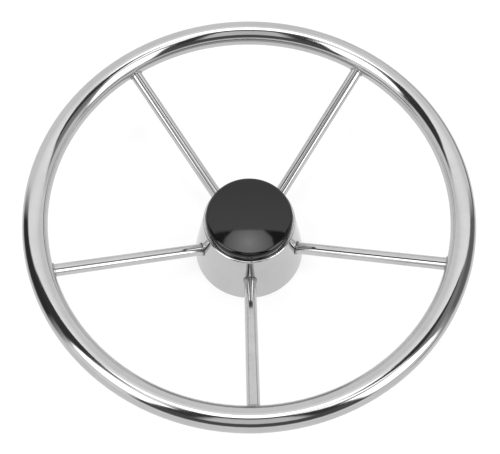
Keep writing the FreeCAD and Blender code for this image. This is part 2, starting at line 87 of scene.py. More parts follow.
class Tree:
    """Adds nodes to one node tree and joins them."""

    def __init__(self, nodes: bpy.types.NodeTree) -> None:
        """Start with an empty tree.

        Args:
            nodes: the tree of a material, of the world or of a group.
        """
        self.tree = nodes
        self.tree.nodes.clear()

    def add(self, kind: str, inputs: Optional[Inputs] = None, **settings: object) -> bpy.types.Node:
        """Add a node.

        Args:
            kind: the node's type, without the words ShaderNode.
            inputs: what its inputs are set to or joined to, by name or number.
            settings: its own properties, which are set first.

        Returns:
            The new node.
        """
        full = kind if kind.startswith("Node") else "ShaderNode" + kind
        node = self.tree.nodes.new(full)
        for name, value in settings.items():
            setattr(node, name, value)
        for name, value in (inputs or {}).items():
            if isinstance(value, bpy.types.NodeSocket):
                self.tree.links.new(value, node.inputs[name])
            else:
                node.inputs[name].default_value = value
        return node

    def calc(self, operation: str, *terms: Value, clamp: bool = False) -> Socket:
        """Result of a Math node on up to three terms, each a number or a socket."""
        node = self.add("Math", dict(enumerate(terms)), operation=operation, use_clamp=clamp)
        return node.outputs[0]

    def length(self, across: Value, along: Value) -> Socket:
        """Length of a straight line from its two parts at right angles."""
        squares = (self.calc("MULTIPLY", part, part) for part in (across, along))
        return self.calc("SQRT", self.calc("ADD", *squares))

    def parts(self, vector: Socket) -> tuple[Socket, Socket, Socket]:
        """X, y and z of a vector."""
        return tuple(self.add("SeparateXYZ", {0: vector}).outputs)

    def mix(self, blend: Blend, share: Value, first: Value, second: Value) -> Socket:
        """Blend two values or two colours.

        Args:
            blend: which of them.
            share: how much of the second there is, from 0 to 1.
            first: the first value or colour.
            second: the second.

        Returns:
            The blend.
        """
        data_type, start, end, result = blend.value
        node = self.add("Mix", {0: share, start: first, end: second}, data_type=data_type)
        return node.outputs[result]

    def between(
        self, value: Value, low: Value, high: Value, to: Sequence[float] = (0, 1)
    ) -> Socket:
        """Carry a value from one range to another, and hold it at the ends.

        Args:
            value: the value.
            low: where the first range starts.
            high: where the first range ends.
            to: the second range.

        Returns:
            The value in the second range.
        """
        inputs = {"Value": value, "From Min": low, "From Max": high}
        inputs.update({"To Min": to[0], "To Max": to[1]})
        return self.add("MapRange", inputs, clamp=True).outputs["Result"]

    def noise(
        self,
        place: Socket,
        scale: Value,
        detail: float = 2.0,
        roughness: float = 0.5,
        distortion: float = 0.0,
        fourth: Optional[Value] = None,
    ) -> Socket:
        """Add a noise texture.

        Args:
            place: where it is looked up.
            scale: how many of its widest lumps there are in a metre.
            detail: how many finer layers lie on these.
            roughness: how strong each layer is for the one under it.
            distortion: how far the lumps are pulled about.
            fourth: a fourth coordinate, where the noise has one.

        Returns:
            The noise, from 0 to 1.
        """
        inputs = {"Vector": place, "Scale": scale, "Detail": detail}
        inputs.update({"Roughness": roughness, "Distortion": distortion})
        if fourth is None:
            return self.add("TexNoise", inputs).outputs["Fac"]
        inputs["W"] = fourth
        return self.add("TexNoise", inputs, noise_dimensions="4D").outputs["Fac"]

    def bump(self, height: Socket, depth: float, under: Optional[Socket] = None) -> Socket:
        """Turn a height into a normal.

        Args:
            height: the height, from 0 to 1.
            depth: how deep the relief is, in metres.
            under: the normal that the relief lies on, if it isn't the mesh's own.

        Returns:
            The normal.
        """
        inputs = {"Height": height, "Distance": depth, "Strength": 1.0}
        if under is not None:
            inputs["Normal"] = under
        return self.add("Bump", inputs).outputs[0]

    def end_material(self, inputs: Inputs) -> None:
        """End a material in a Principled BSDF with these inputs."""
        shader = self.add("BsdfPrincipled", inputs)
        self.add("OutputMaterial", {"Surface": shader.outputs[0]})


# shared effects


@dataclass(frozen=True)
class Effect:
    """A shader node group that puts out one value, built once and placed wherever it is needed.

    The function draw adds the group's nodes: it gets the group's tree and its inputs by name, and
    gives the socket that the group puts out.
    """

    name: str
    inputs: dict[str, float]
    output: str
    draw: Callable[[Tree, dict[str, Socket]], Socket]
    built: ClassVar[dict[str, bpy.types.NodeTree]] = {}

    def group(self) -> bpy.types.NodeTree:
        """Find the effect's node group, or make it at its first use.

        Returns:
            The group.
        """
        if self.name not in Effect.built:
            group = bpy.data.node_groups.new(self.name, "ShaderNodeTree")
            kind = "NodeSocketFloat"
            for name, value in self.inputs.items():
                socket = group.interface.new_socket(name, in_out="INPUT", socket_type=kind)
                socket.default_value = value
            group.interface.new_socket(self.output, in_out="OUTPUT", socket_type=kind)
            tree = Tree(group)
            entry = tree.add("NodeGroupInput").outputs
            result = self.draw(tree, {name: entry[name] for name in self.inputs})
            tree.add("NodeGroupOutput", {self.output: result})
            Effect.built[self.name] = group
        return Effect.built[self.name]

    def place(self, tree: Tree, **values: Value) -> Socket:
        """Put the effect into a tree, with its own values for the inputs that are named."""
        inputs = {name.replace("_", " ").capitalize(): value for name, value in values.items()}
        return tree.add("Group", inputs, node_tree=self.group()).outputs[0]


def object_place(tree: Tree) -> Socket:
    """Place of a point on the part."""
    return tree.add("TexCoord").outputs["Object"]


def fine_lines(tree: Tree, place: Iterable[Value], fourth: Value) -> Socket:
    """Noise that is drawn out into fine lines by a place that is stretched."""
    spot = tree.add("CombineXYZ", dict(enumerate(place))).outputs[0]
    return tree.noise(spot, 1.0, detail=2.0, roughness=0.6, fourth=fourth)


def draw_turned_lines(tree: Tree, given: dict[str, Socket]) -> Socket:
    """Draw fine lines round the shaft axis, as a lathe or a buffing wheel leaves them.

    Args:
        tree: the group's tree.
        given: the group's inputs.

    Returns:
        The lines.
    """
    x, y, z = tree.parts(object_place(tree))
    radius = tree.length(x, y)
    pieces = [
        tree.calc("MULTIPLY", tree.calc("DIVIDE", part, radius), given["Break up"])
        for part in (x, y)
    ]
    across = tree.calc("MULTIPLY", radius, given["Lines per metre"])
    upward = tree.calc("MULTIPLY", z, given["Lines per metre"])
    return fine_lines(tree, (*pieces, across), upward)


def draw_drawn_lines(tree: Tree, given: dict[str, Socket]) -> Socket:
    """Draw fine lines along every spoke, as a drawn and buffed tube has them.

    Args:
        tree: the group's tree.
        given: the group's inputs.

    Returns:
        The lines, which differ from spoke to spoke.
    """
    x, y, z = tree.parts(object_place(tree))
    radius = tree.length(x, y)
    wedge = 2 * math.pi / SPOKE_COUNT
    first = math.radians(FIRST_SPOKE_BEARING)
    bearing = tree.calc("SUBTRACT", tree.calc("ARCTAN2", y, x), first)
    off_line = tree.calc("WRAP", bearing, wedge / 2, -wedge / 2)
    along = tree.calc("MULTIPLY", radius, tree.calc("COSINE", off_line))
    across = tree.calc("MULTIPLY", radius, tree.calc("SINE", off_line))
    height = tree.calc("SUBTRACT", z, tree.calc("MULTIPLY", along, SPOKE_SLOPE))
    place = (
        tree.calc("MULTIPLY", along, given["Break up"]),
        tree.calc("MULTIPLY", across, given["Lines per metre"]),
        tree.calc("MULTIPLY", height, given["Lines per metre"]),
    )
    number = tree.calc("ROUND", tree.calc("DIVIDE", bearing, wedge))
    return fine_lines(tree, place, number)


FINE_MARKS_PER_BROAD = 9.0
FINE_MARK_SHARE = 0.25


def draw_handling(tree: Tree, given: dict[str, Socket]) -> Socket:
    """Draw soft blotches where hands and cloths have dulled a polish.

    Args:
        tree: the group's tree.
        given: the group's inputs.

    Returns:
        The mask of the blotches.
    """
    place = object_place(tree)
    broad = tree.noise(place, given["Scale"], detail=3.0, roughness=0.55, distortion=0.6)
    fine = tree.noise(place, tree.calc("MULTIPLY", given["Scale"], FINE_MARKS_PER_BROAD))
    both = tree.calc("ADD", broad, tree.calc("MULTIPLY", fine, FINE_MARK_SHARE))
    return tree.between(both, given["Low"], given["High"])


SCRATCH_TURNS = ((0.3, 0.5, 0.5), (0.3, 2.1, 2.1))
SCRATCH_STRETCHES = ((1.0, 14.0, 3.0), (11.0, 1.0, 4.0))
SCRATCHED_AREA_FINENESS = 1.7
SCRATCHED_AREA_RANGE = (0.54, 0.66)


def draw_scratches(tree: Tree, given: dict[str, Socket]) -> Socket:
    """Draw a few hairline scratches, each thin and long, in two crossing sets.

    Args:
        tree: the group's tree.
        given: the group's inputs.

    Returns:
        The mask of the scratches.
    """
    place = object_place(tree)
    sets = []
    for turn, stretch in zip(SCRATCH_TURNS, SCRATCH_STRETCHES):
        turned = tree.add("Mapping", {"Vector": place, "Rotation": turn, "Scale": stretch})
        noise = tree.noise(turned.outputs[0], given["Scale"], detail=1.0, roughness=0.4)
        away = tree.calc("ABSOLUTE", tree.calc("SUBTRACT", noise, 0.5))
        sets.append(tree.between(away, 0.0, given["Width"], (1, 0)))
    areas = tree.noise(place, tree.calc("MULTIPLY", given["Scale"], SCRATCHED_AREA_FINENESS))
    kept = tree.between(areas, *SCRATCHED_AREA_RANGE)
    return tree.calc("MULTIPLY", tree.calc("MAXIMUM", *sets), kept)


def draw_ripple(tree: Tree, given: dict[str, Socket]) -> Socket:
    """Slight unevenness that makes a polished surface's reflections waver."""
    return tree.noise(object_place(tree), given["Scale"], detail=1.0)


def draw_panel(tree: Tree, given: dict[str, Socket]) -> Socket:
    """Draw a four-sided panel with soft edges.

    Args:
        tree: the group's tree.
        given: the group's inputs.

    Returns:
        The share of the panel in what is seen at the bearing and height.
    """
    above = tree.calc("SUBTRACT", given["Height"], given["Bottom"])
    middle = tree.calc("MULTIPLY", tree.calc("ADD", given["Left"], given["Right"]), 0.5)
    aside = tree.calc("SUBTRACT", given["Bearing"], middle)
    left, right = (
        tree.calc("MULTIPLY_ADD", above, given[f"{side} lean"], given[side])
        for side in ("Left", "Right")
    )
    bottom, top = (
        tree.calc("MULTIPLY_ADD", aside, given[f"{side} rise"], given[side])
        for side in ("Bottom", "Top")
    )
    shares = []
    for far, near in (
        (given["Bearing"], left),
        (right, given["Bearing"]),
        (given["Height"], bottom),
        (top, given["Height"]),
    ):
        depth = tree.calc("DIVIDE", tree.calc("SUBTRACT", far, near), given["Edge"])
        shares.append(tree.calc("ADD", depth, 0.5, clamp=True))
    sides = tree.calc("MULTIPLY", *shares[:2])
    ends = tree.calc("MULTIPLY", *shares[2:])
    return tree.calc("MULTIPLY", sides, ends)


LINE_INPUTS = {"Lines per metre": 3000.0, "Break up": 2.0}
PANEL_SIDES = {"Left": -10.0, "Right": 10.0, "Bottom": 0.0, "Top": 10.0}
PANEL_SLANTS = {"Left lean": 0.0, "Right lean": 0.0, "Bottom rise": 0.0, "Top rise": 0.0}
PANEL_INPUTS = {"Bearing": 0.0, "Height": 0.0, **PANEL_SIDES, **PANEL_SLANTS, "Edge": 3.0}

TURNED_LINES = Effect("turned_lines", LINE_INPUTS, "Lines", draw_turned_lines)
DRAWN_LINES = Effect("drawn_lines", LINE_INPUTS, "Lines", draw_drawn_lines)
HANDLING = Effect("handling", {"Scale": 30.0, "Low": 0.5, "High": 0.9}, "Mask", draw_handling)
SCRATCHES = Effect("scratches", {"Scale": 30.0, "Width": 0.01}, "Mask", draw_scratches)
RIPPLE = Effect("ripple", {"Scale": 100.0}, "Height", draw_ripple)
PANEL = Effect("studio_panel", PANEL_INPUTS, "Mask", draw_panel)

LINES_OF_LAY = {Lay.ROUND_THE_AXIS: TURNED_LINES, Lay.ALONG_THE_SPOKES: DRAWN_LINES}
LINES_THAT_SHOW = (0.3, 0.7)


# finishes


def new_material(name: str) -> tuple[bpy.types.Material, Tree]:
    """Make a material with an empty node tree.

    Args:
        name: the material's name.

    Returns:
        The material, and its tree.
    """
    material = bpy.data.materials.new(name)
    material.use_nodes = True
    return material, Tree(material.node_tree)


def grey(level: float) -> tuple[float, float, float, float]:
    """A plain grey of this linear level."""
    return (level, level, level, 1.0)


@dataclass(frozen=True)
class Wear:
    """Handling marks and hairline scratches, and how much rougher than the rest they are."""

    marks_per_metre: float = 28.0
    mark_range: tuple[float, float] = (0.55, 0.95)
    mark_roughness: float = 0.05
    scratch_scale: float = 26.0
    scratch_width: float = 0.004
    scratch_roughness: float = 0.08

    def lay_on(self, tree: Tree, roughness: Value) -> tuple[Socket, Socket, Socket]:
        """Add the wear to a material.

        Args:
            tree: the material's tree.
            roughness: the roughness of the clean surface.

        Returns:
            The roughness of the worn surface, and the masks of the marks and of the scratches.
        """
        low, high = self.mark_range
        marked = HANDLING.place(tree, scale=self.marks_per_metre, low=low, high=high)
        scratched = SCRATCHES.place(tree, scale=self.scratch_scale, width=self.scratch_width)
        worn = tree.calc("MULTIPLY_ADD", marked, self.mark_roughness, roughness)
        worn = tree.calc("MULTIPLY_ADD", scratched, self.scratch_roughness, worn, clamp=True)
        return worn, marked, scratched


@dataclass(frozen=True)
class Finish(ABC):
    """A finish by its name."""

    name: str

    @abstractmethod
    def build(self) -> bpy.types.Material:
        """Make the finish's material."""


@dataclass(frozen=True)
class SteelFinish(Finish):
    """Bare stainless steel, from mirror polish to a turned face."""

    level: float = 0.58
    marked_level: float = 0.53
    roughness: float = 0.05
    line_roughness: float = 0.03
    wear: Wear = Wear()
    lay: Lay = Lay.ROUND_THE_AXIS
    lines_per_metre: float = 2500.0
    break_up: float = 2.0
    line_depth: float = 0.0
    ripples_per_metre: float = 90.0
    ripple_depth: float = 0.0

    def build(self) -> bpy.types.Material:
        """Make the material.

        Returns:
            The material.
        """
        material, tree = new_material(self.name)
        lines = LINES_OF_LAY[self.lay].place(
            tree, lines_per_metre=self.lines_per_metre, break_up=self.break_up
        )
        spread = (self.roughness, self.roughness + self.line_roughness)
        clean = tree.between(lines, *LINES_THAT_SHOW, spread)
        worn, marked, _ = self.wear.lay_on(tree, clean)
        colour = tree.mix(Blend.COLOURS, marked, grey(self.level), grey(self.marked_level))
        inputs = {"Base Color": colour, "Metallic": 1.0, "Roughness": worn}
        normal = self.relief(tree, lines)
        if normal is not None:
            inputs["Normal"] = normal
        tree.end_material(inputs)
        return material

    def relief(self, tree: Tree, lines: Socket) -> Optional[Socket]:
        """Raise the ripple and, on it, the fine lines.

        Args:
            tree: the material's tree.
            lines: the fine lines.

        Returns:
            The normal, or nothing where the finish has neither.
        """
        normal = None
        if self.ripple_depth > 0:
            height = RIPPLE.place(tree, scale=self.ripples_per_metre)
            normal = tree.bump(height, self.ripple_depth)
        if self.line_depth > 0:
            normal = tree.bump(lines, self.line_depth, normal)
        return normal


@dataclass(frozen=True)
class PlasticFinish(Finish):
    """Glossy black moulded plastic, lightly handled."""

    level: float = 0.0075
    scratched_level: float = 0.015
    roughness: float = 0.045
    refraction: float = 1.47
    wear: Wear = Wear(45.0, (0.6, 1.0), 0.06, 38.0, 0.003, 0.06)
    ripples_per_metre: float = 260.0
    ripple_depth: float = 1.5e-6

    def build(self) -> bpy.types.Material:
        """Make the material.

        Returns:
            The material.
        """
        material, tree = new_material(self.name)
        worn, _, scratched = self.wear.lay_on(tree, self.roughness)
        colour = tree.mix(
            Blend.COLOURS, scratched, grey(self.level), grey(self.scratched_level)
        )
        height = RIPPLE.place(tree, scale=self.ripples_per_metre)
        normal = tree.bump(height, self.ripple_depth)
        tree.end_material(
            {"Base Color": colour, "Roughness": worn, "IOR": self.refraction, "Normal": normal}
        )
        return material


@dataclass(frozen=True)
class RubberFinish(Finish):
    """Matt black rubber with a faint grey bloom."""

    level: float = 0.018
    bloom_level: float = 0.045
    blooms_per_metre: float = 160.0
    bloom_range: tuple[float, float] = (0.5, 0.9)
    roughness: tuple[float, float] = (0.55, 0.75)
    grains_per_metre: float = 1400.0
    grain_depth: float = 2e-5

    def build(self) -> bpy.types.Material:
        """Make the material.

        Returns:
            The material.
        """
        material, tree = new_material(self.name)
        low, high = self.bloom_range
        bloom = HANDLING.place(tree, scale=self.blooms_per_metre, low=low, high=high)
        colour = tree.mix(Blend.COLOURS, bloom, grey(self.level), grey(self.bloom_level))
        rough = tree.between(bloom, 0.0, 1.0, self.roughness)
        grain = RIPPLE.place(tree, scale=self.grains_per_metre)
        normal = tree.bump(grain, self.grain_depth)
        tree.end_material({"Base Color": colour, "Roughness": rough, "Normal": normal})
        return material


# meshes


def mesh_object(
    name: str, work: bmesh.types.BMesh, material: bpy.types.Material, crease: float = 30.0
) -> bpy.types.Object:
    """Turn a finished mesh into an object.

    Args:
        name: the object's name.
        work: the mesh, which is freed.
        material: its material.
        crease: edges that turn by more degrees than this stay sharp.

    Returns:
        The object, in the scene.
    """
    bmesh.ops.recalc_face_normals(work, faces=work.faces)
    mesh = bpy.data.meshes.new(name)
    work.to_mesh(mesh)
    work.free()
    mesh.polygons.foreach_set("use_smooth", [True] * len(mesh.polygons))
    mesh.set_sharp_from_angle(angle=math.radians(crease))
    mesh.materials.append(material)
    item = bpy.data.objects.new(name, mesh)
    bpy.context.scene.collection.objects.link(item)
    return item


def flat_object(
    name: str, corners: Iterable[Point], material: bpy.types.Material
) -> bpy.types.Object:
    """Make a flat object with one face.

    Args:
        name: the object's name.
        corners: the corners of the face in order.
        material: its material.

    Returns:
        The object, in the scene.
    """
    work = bmesh.new()
    work.faces.new([work.verts.new(corner) for corner in corners])
    return mesh_object(name, work, material)


def skin_of_rings(rings: Iterable[Iterable[Point]]) -> bmesh.types.BMesh:
    """Join rings of points into a closed skin.

    Args:
        rings: the rings in order, each with as many points as the others. The last joins the first.

    Returns:
        The skin.
    """
    work = bmesh.new()
    made = [[work.verts.new(point) for point in ring] for ring in rings]
    count = len(made[0])
    for lower, upper in zip(made, made[1:] + made[:1]):
        for number in range(count):
            following = (number + 1) % count
            work.faces.new((lower[number], lower[following], upper[following], upper[number]))
    return work


def round_point(radius: float, bearing: float, height: float) -> Point:
    """Point at a radius, a bearing in radians and a height."""
    return (radius * math.cos(bearing), radius * math.sin(bearing), height)


@dataclass
class WeldBead:
    """A ring of weld with the overlapping ripples that each drop of filler leaves.

    The toes and the corner are radii and heights: the bead stands out between its two toes, and
    its section ends in the corner behind them.
    """

    name: str
    toes: tuple[tuple[float, float], tuple[float, float]]
    corner: tuple[float, float]
    ripple_length: float = 2.0 * MM
    crown: float = 0.28 * MM
    ripple_height: float = 0.16 * MM
    crown_fullness: float = 0.7
    ripple_fullness: float = 0.6
    ripple_lag: float = 0.45
    samples_per_ripple: int = 7
    section_points: int = 9
    crease: float = 60.0

    def build(self, material: bpy.types.Material) -> bpy.types.Object:
        """Make the bead's mesh.

        Args:
            material: its material.

        Returns:
            The object.
        """
        middle = (self.toes[0][0] + self.toes[1][0]) / 2
        ripples = round(2 * math.pi * middle / self.ripple_length)
        steps = ripples * self.samples_per_ripple
        outward = self.outward()
        rings = (
            self.section(2 * math.pi * step / steps, step / self.samples_per_ripple, outward)
            for step in range(steps)
        )
        return mesh_object(self.name, skin_of_rings(rings), material, self.crease)

    def outward(self) -> Vector:
        """Find the way in which the bead stands out, square to the line between its toes.

        Returns:
            The direction, as a radius and a height.
        """
        (r0, z0), (r1, z1) = self.toes
        outward = Vector((z1 - z0, r0 - r1)).normalized()
        if outward.dot(Vector((self.corner[0] - r0, self.corner[1] - z0))) > 0:
            outward.negate()
        return outward

    def section(self, bearing: float, ripple: float, outward: Vector) -> list[Point]:
        """Draw the bead's section at one place.

        Args:
            bearing: the place, in radians.
            ripple: the same place, counted in ripples.
            outward: the way in which the bead stands out.

        Returns:
            The section's points.
        """
        (r0, z0), (r1, z1) = self.toes
        ring = []
        for number in range(self.section_points):
            share = number / (self.section_points - 1)
            swell = self.swell(share, ripple)
            radius = r0 + (r1 - r0) * share + outward.x * swell
            height = z0 + (z1 - z0) * share + outward.y * swell
            ring.append(round_point(radius, bearing, height))
        ring.append(round_point(self.corner[0], bearing, self.corner[1]))
        return ring

    def swell(self, share: float, ripple: float) -> float:
        """Find how far the bead stands out.

        Args:
            share: how far across the bead, from toe to toe.
            ripple: the place along it, counted in ripples.

        Returns:
            The distance.
        """
        arch = 4 * share * (1 - share)
        wave = (ripple - self.ripple_lag * arch) % 1.0
        rise = self.ripple_height * (wave**self.ripple_fullness - 0.5)
        return arch**self.crown_fullness * (self.crown + rise)


@dataclass
class ThreadedNut:
    """The shaft nut: chamfered hexagon with a real thread in its bore.

    The flat at the thread's root and its two flanks together are shares of the pitch.
    """

    name: str = "nut_threaded"
    flat: float = 11.9 * MM
    bottom: float = 41.4 * MM
    top: float = 55.3 * MM
    face_share: float = 0.985
    face_drop: float = 0.05 * MM
    crest: float = 7.25 * MM
    root: float = 7.92 * MM
    pitch: float = 25.4 / 18 * MM
    root_flat: float = 0.125
    flanks: float = 0.625
    entry: float = 8.15 * MM
    chamfer_slope: float = 0.5975
    corner_rounding: float = 0.25 * MM
    sides: int = 6
    around: int = 120
    rows_per_pitch: int = 14
    crease: float = 28.0

    def build(self, material: bpy.types.Material) -> bpy.types.Object:
        """Make the nut's mesh, its skin running once round its section.

        Args:
            material: its material.

        Returns:
            The object.
        """
        face = self.flat * self.face_share
        rings = [
            self.round_ring(face, self.top),
            self.round_ring(self.flat, self.top - self.face_drop),
            self.chamfer_ring(self.top, -1),
            self.chamfer_ring(self.bottom, 1),
            self.round_ring(self.flat, self.bottom + self.face_drop),
            self.round_ring(face, self.bottom),
        ]
        rows = math.ceil((self.top - self.bottom) / self.pitch * self.rows_per_pitch)
        for row in range(rows + 1):
            height = self.bottom + (self.top - self.bottom) * row / rows
            rings.append([self.bore_point(bearing, height) for bearing in self.bearings()])
        return mesh_object(self.name, skin_of_rings(rings), material, self.crease)

    def bearings(self) -> list[float]:
        """Bearings of the points of every ring, in radians."""
        return [2 * math.pi * number / self.around for number in range(self.around)]

    def round_ring(self, radius: float, height: float) -> list[Point]:
        """A plain ring."""
        return [round_point(radius, bearing, height) for bearing in self.bearings()]

    def chamfer_ring(self, face: float, inward: int) -> list[Point]:
        """Draw the ring where a conical chamfer meets the flats.

        Args:
            face: the height of the nut's face.
            inward: 1 where the nut lies above that face, and -1 where it lies below.

        Returns:
            The ring's points.
        """
        wedge = 360 / self.sides
        corner = self.flat / math.cos(math.pi / self.sides) - self.corner_rounding
        ring = []
        for bearing in self.bearings():
            off_flat = math.radians((math.degrees(bearing) % wedge) - wedge / 2)
            radius = min(self.flat / math.cos(off_flat), corner)
            height = face + inward * self.chamfer_slope * (radius - self.flat)
            ring.append(round_point(radius, bearing, height))
        return ring

    def bore_point(self, bearing: float, height: float) -> Point:
        """Find a point of the thread, with a countersink at each end.

        Args:
            bearing: the point's bearing, in radians.
            height: its height.

        Returns:
            The point.
        """
        phase = (height / self.pitch - bearing / (2 * math.pi)) % 1.0
        from_root = abs(phase - 0.5) * 2
        climb = min(max((from_root - self.root_flat) / self.flanks, 0.0), 1.0)
        radius = self.root + (self.crest - self.root) * climb
        from_end = min(height - self.bottom, self.top - height)
        return round_point(max(radius, self.entry - from_end), bearing, height)


# sub-assemblies


@dataclass
class Assembly:
    """A group of pieces that are dressed together.

    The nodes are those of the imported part. The list of what is made gives, for each node that is
    done, the piece that shows it.
    """

    nodes: dict[str, bpy.types.Object]
    made: dict[str, str]

    def dress(self, names: Iterable[str], finish: Finish) -> bpy.types.Material:
        """Give nodes a finish in place of what they came with.

        Args:
            names: the nodes.
            finish: the finish.

        Returns:
            The material, for pieces that share it.
        """
        material = finish.build()
        for name in names:
            slots = self.nodes[name].data.materials
            slots.clear()
            slots.append(material)
            self.made[name] = name
        return material

    def stand_for(self, piece: bpy.types.Object, body: str, node: str, slot: str) -> None:
        """Let a piece ride on a body and stand for a node.

        Args:
            piece: the piece.
            body: the body.
            node: the node, which is hidden.
            slot: the record's material slot for the piece; not used.
        """
        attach(piece, body)
        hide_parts(node)
        self.made[node] = piece.name


@dataclass
class Rim(Assembly):
    """The rolled rim tube."""

    tube: SteelFinish = SteelFinish(
        "rim_steel",
        roughness=0.045,
        line_roughness=0.03,
        lines_per_metre=1800.0,
        ripples_per_metre=60.0,
        ripple_depth=1.2e-5,
    )

    def build(self) -> None:
        """Dress the rim."""
        self.dress(["rim_tube"], self.tube)


@dataclass
class Spokes(Assembly):
    """Five spoke tubes with a ring of weld at each end."""

    tube: SteelFinish = SteelFinish(
        "spoke_steel",
        level=0.62,
        roughness=0.08,
        line_roughness=0.05,
        lay=Lay.ALONG_THE_SPOKES,
        lines_per_metre=2200.0,
        break_up=18.0,
        ripples_per_metre=110.0,
        ripple_depth=6e-6,
    )
    weld: SteelFinish = SteelFinish(
        "weld_steel",
        level=0.46,
        marked_level=0.3,
        roughness=0.16,
        line_roughness=0.1,
        ripples_per_metre=900.0,
        ripple_depth=6e-5,
    )

    def build(self) -> bpy.types.Material:
        """Dress the spokes and their welds.

        Returns:
            The weld material.
        """
        numbers = range(1, SPOKE_COUNT + 1)
        self.dress([f"spoke_{n}" for n in numbers], self.tube)
        return self.dress([f"{end}_weld_{n}" for end in ("hub", "rim") for n in numbers], self.weld)


@dataclass
class Hub(Assembly):
    """The hub cone, its base plate, its seat ring and the two weld beads under the plate."""

    cone: SteelFinish = SteelFinish(
        "hub_steel",
        roughness=0.05,
        line_roughness=0.04,
        lines_per_metre=1500.0,
        ripples_per_metre=55.0,
        ripple_depth=1.5e-5,
    )
    plate: SteelFinish = SteelFinish(
        "plate_steel",
        level=0.55,
        marked_level=0.42,
        roughness=0.24,
        line_roughness=0.14,
        wear=Wear(mark_roughness=0.08),
        lines_per_metre=2200.0,
        line_depth=1.2e-5,
    )
    bead_width: float = 2.0 * MM
    plate_bead_inset: float = 0.3 * MM

    def build(self, weld: bpy.types.Material) -> None:
        """Dress the hub and lay the beads under its base plate.

        Args:
            weld: the weld material.
        """
        self.dress(["hub_shell"], self.cone)
        self.dress(["hub_base_plate", "cap_seat_ring"], self.plate)

        inside, outside, bottom, top = self.weld_space("base_plate_weld")
        toes = ((inside, top), (outside, bottom))
        bead = WeldBead("plate_weld_bead", toes, (outside - self.plate_bead_inset, top))
        self.stand_for(bead.build(weld), "wheel", "base_plate_weld", "weld_steel")

        inside, outside, bottom, top = self.weld_space("boss_weld")
        toes = ((inside, bottom), (outside, top))
        bead = WeldBead("boss_weld_bead", toes, (inside, top))
        self.stand_for(bead.build(weld), "wheel", "boss_weld", "weld_steel")

    def weld_space(self, node: str) -> tuple[float, float, float, float]:
        """Inner radius, outer radius, bottom and top of the space for a bead."""
        low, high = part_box(node)
        return high.x - self.bead_width, high.x, low.z, high.z


@dataclass
class Fastening(Assembly):
    """The turned boss, the washer and the shaft nut."""

    boss: SteelFinish = SteelFinish(
        "boss_steel",
        level=0.55,
        marked_level=0.45,
        roughness=0.2,
        line_roughness=0.14,
        lines_per_metre=2600.0,
        line_depth=2e-5,
    )
    bright: SteelFinish = SteelFinish(
        "fastener_steel",
        level=0.57,
        marked_level=0.45,
        roughness=0.14,
        line_roughness=0.08,
        lines_per_metre=2600.0,
        line_depth=6e-6,
    )

    def build(self) -> None:
        """Dress the boss and the washer, and make the threaded nut."""
        self.dress(["hub_boss"], self.boss)
        bright = self.dress(["shaft_washer"], self.bright)
        nut = ThreadedNut().build(bright)
        self.stand_for(nut, "wheel", "shaft_nut", "fastener_steel")


@dataclass
class Cap(Assembly):
    """The push-in centre cap and its O-ring."""

    moulding: PlasticFinish = PlasticFinish("cap_plastic")
    ring: RubberFinish = RubberFinish("ring_rubber")

    def build(self) -> None:
        """Dress the cap and the ring."""
        self.dress(["centre_cap"], self.moulding)
        self.dress(["cap_o_ring"], self.ring)


# studio


@dataclass(frozen=True)
class Direction:
    """The direction of a ray of the world, in the ways that the studio's parts need it.

    The bearing is in degrees from the camera's side towards the right, and the height in degrees
    above the horizon. Across and back tell where the direction meets a ceiling one unit up.
    """

    bearing: Socket
    height: Socket
    across: Socket
    back: Socket
    least_rise: ClassVar[float] = 0.01

    @classmethod
    def read(cls, tree: Tree) -> "Direction":
        """Read the direction in the world's tree.

        Args:
            tree: the world's tree.

        Returns:
            The direction.
        """
        x, y, z = tree.parts(tree.add("TexCoord").outputs["Generated"])
        turn = tree.calc("ARCTAN2", x, tree.calc("MULTIPLY", y, -1.0))
        upward = tree.calc("MAXIMUM", z, cls.least_rise)
        return cls(
            bearing=tree.calc("MULTIPLY", turn, DEGREES_PER_RADIAN),
            height=tree.calc("MULTIPLY", tree.calc("ARCSINE", z), DEGREES_PER_RADIAN),
            across=tree.calc("DIVIDE", x, upward),
            back=tree.calc("DIVIDE", y, upward),
        )

    def from_spot(self, tree: Tree, spot: tuple[float, float]) -> tuple[Socket, Socket]:
        """How far across and how far back from a spot on the ceiling."""
        across, back = spot
        return tree.calc("SUBTRACT", self.across, across), tree.calc("SUBTRACT", self.back, back)


@dataclass(frozen=True)
class Panel:
    """A soft-edged four-sided part of the studio, by the directions in which the wheel sees it.

    Each side leans by so many degrees of bearing for a degree of height, and the bottom and the
    top rise by so many degrees of height for a degree of bearing.
    """

    name: str
    bearings: tuple[float, float]
    heights: tuple[float, float]
    strength: float
    leans: tuple[float, float] = (0.0, 0.0)
    rises: tuple[float, float] = (0.0, 0.0)
    edge: float = 3.0

    def hang(self, tree: Tree, looking: Direction, level: Value) -> Socket:
        """Hang the panel in front of what is there.

        Args:
            tree: the world's tree.
            looking: the direction.
            level: the strength of what is behind the panel.

        Returns:
            The strength with the panel in front.
        """
        mask = PANEL.place(
            tree,
            bearing=looking.bearing,
            height=looking.height,
            left=self.bearings[0],
            right=self.bearings[1],
            bottom=self.heights[0],
            top=self.heights[1],
            left_lean=self.leans[0],
            right_lean=self.leans[1],
            bottom_rise=self.rises[0],
            top_rise=self.rises[1],
            edge=self.edge,
        )
        return tree.mix(Blend.VALUES, mask, level, self.strength)


